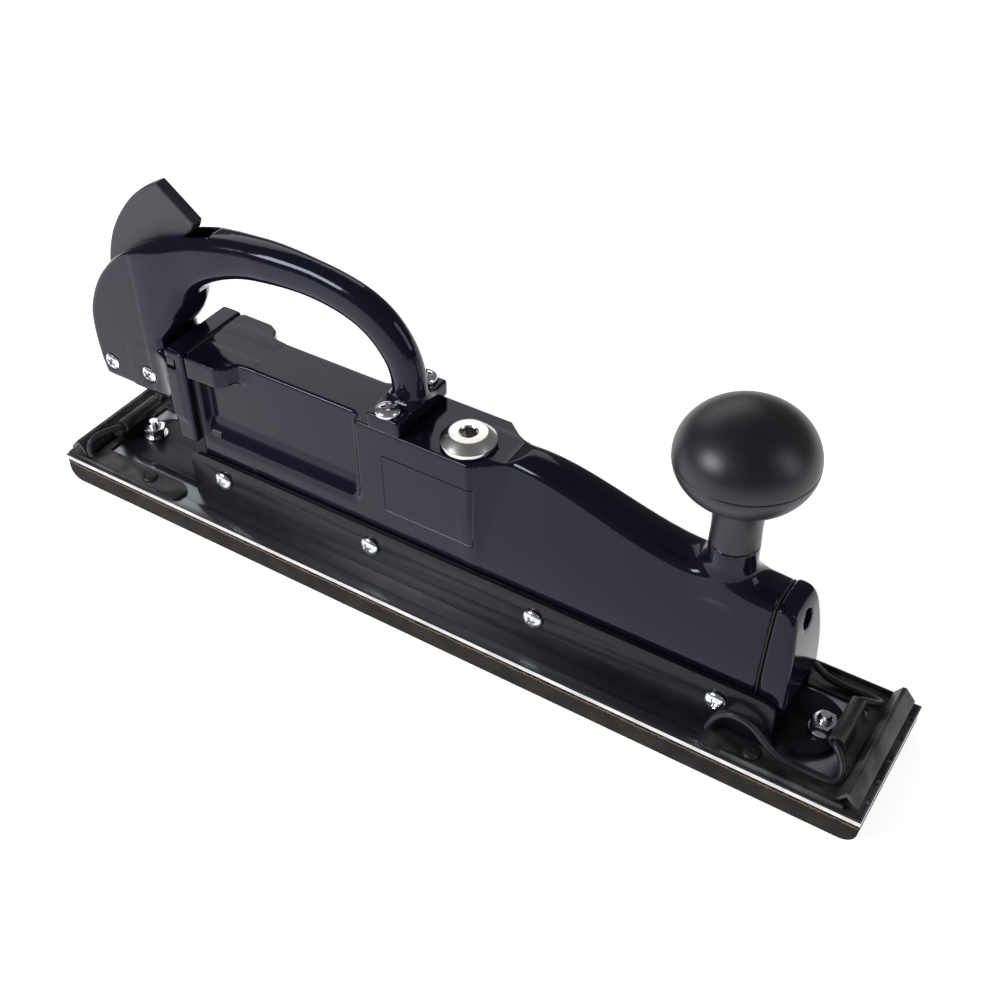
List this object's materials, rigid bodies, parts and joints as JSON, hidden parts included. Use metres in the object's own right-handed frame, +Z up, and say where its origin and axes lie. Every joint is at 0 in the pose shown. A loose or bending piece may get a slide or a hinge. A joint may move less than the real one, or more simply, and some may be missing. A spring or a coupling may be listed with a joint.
{
  "type": "in-line air sander",
  "caption": "Long straight-line air sander: a cast body with an arched lever handle and a ball knob drives a flat sanding shoe to and fro, with a spring sheet clip at each end.",
  "frame": {"origin": "middle of the pad's underside, on the surface being sanded", "axes": "+X forward along the shoe towards the knob, +Y across to the side away from the blank label panel's viewer, +Z up"},
  "size_m": [0.43, 0.07, 0.1748],
  "materials": {
    "black_enamel": "gloss",
    "black_steel": "satin",
    "black_lever": "satin",
    "knob_plastic": "satin",
    "zinc_plated": "satin",
    "nickel_plated": "polished",
    "bare_steel": "satin",
    "ground_steel": "polished",
    "oxide_steel": "satin",
    "pad_rubber": "matte",
    "seal_rubber": "satin",
    "gasket": "matte",
    "felt": "matte",
    "guide_plastic": "satin",
    "bronze": "satin",
    "brass": "satin",
    "machined_aluminium": "satin"
  },
  "bodies": {
    "body": {"housing": "black_enamel", "front_cap": "black_enamel", "front_cap_gasket": "gasket", "front_cap_screws": "zinc_plated", "rear_gasket": "gasket", "rear_flange_screws": "oxide_steel", "handle": "black_enamel", "handle_foot_screws": "zinc_plated", "handle_side_screws": "zinc_plated", "valve_block": "machined_aluminium", "inlet_bushing": "brass", "inlet_screen": "zinc_plated", "lever_pin": "ground_steel", "valve_spring": "zinc_plated", "knob": "knob_plastic", "knob_stud": "zinc_plated", "pinion_plug": "nickel_plated", "plug_seal": "seal_rubber", "upper_bush": "bronze", "lower_bush": "bronze", "rear_cylinder_head": "machined_aluminium", "spool_sleeve": "ground_steel", "spool_stops": "machined_aluminium", "exhaust_felt": "felt"},
    "shoe": {"carrier": "black_steel", "carrier_side_screws": "zinc_plated", "guide_strips": "guide_plastic", "base_plate": "bare_steel", "backing_pad": "pad_rubber", "shoe_rack": "ground_steel", "rack_screws": "oxide_steel", "shoe_studs": "zinc_plated", "stud_washers": "zinc_plated", "stud_nuts": "zinc_plated", "front_clip_base": "oxide_steel", "front_clip_wire": "oxide_steel", "front_clip_rivets": "oxide_steel", "rear_clip_base": "oxide_steel", "rear_clip_wire": "oxide_steel", "rear_clip_rivets": "oxide_steel"},
    "pinion": {"pinion": "ground_steel"},
    "piston": {"piston": "ground_steel", "piston_seals": "seal_rubber"},
    "spool": {"spool": "ground_steel"},
    "throttle_lever": {"throttle_lever": "black_lever"},
    "valve_stem": {"valve_stem": "ground_steel"},
    "front_jaw": {"front_clip_jaw": "oxide_steel"},
    "rear_jaw": {"rear_clip_jaw": "oxide_steel"}
  },
  "joints": [
    {"name": "shoe_slide", "type": "slide", "parent": "body", "child": "shoe", "axis": [1, 0, 0], "range_m": [-0.011, 0.011]},
    {"name": "pinion_spin", "type": "hinge", "parent": "body", "child": "pinion", "pos_m": [0.0145, -0.0044, 0.05], "axis": [0, 0, 1], "range_deg": [-84.1, 84.1]},
    {"name": "piston_slide", "type": "slide", "parent": "body", "child": "piston", "axis": [1, 0, 0], "range_m": [-0.01325, 0.01325]},
    {"name": "spool_slide", "type": "slide", "parent": "body", "child": "spool", "axis": [1, 0, 0], "range_m": [-0.003, 0.0025]},
    {"name": "throttle_hinge", "type": "hinge", "parent": "body", "child": "throttle_lever", "pos_m": [-0.178, 0, 0.114], "axis": [0, 1, 0], "range_deg": [0, 17], "stiffness_Nm_per_rad": 0.6, "springref_deg": -2.86},
    {"name": "valve_slide", "type": "slide", "parent": "body", "child": "valve_stem", "axis": [0, 0, -1], "range_m": [0, 0.0045], "deforming": ["valve_spring"]},
    {"name": "front_jaw_hinge", "type": "hinge", "parent": "shoe", "child": "front_jaw", "pos_m": [0.203, 0, 0.0175], "axis": [0, -1, 0], "range_deg": [0, 8], "stiffness_Nm_per_rad": 0.4, "deforming": ["front_clip_wire"]},
    {"name": "rear_jaw_hinge", "type": "hinge", "parent": "shoe", "child": "rear_jaw", "pos_m": [-0.203, 0, 0.0175], "axis": [0, 1, 0], "range_deg": [0, 8], "stiffness_Nm_per_rad": 0.4, "deforming": ["rear_clip_wire"]}
  ],
  "couplings": [
    {"joint": "pinion_spin", "follows": "shoe_slide", "rad_per_m": 133.33},
    {"joint": "piston_slide", "follows": "shoe_slide", "ratio": -1.2},
    {"joint": "valve_slide", "follows": "throttle_hinge", "m_per_rad": 0.0148}
  ]
}
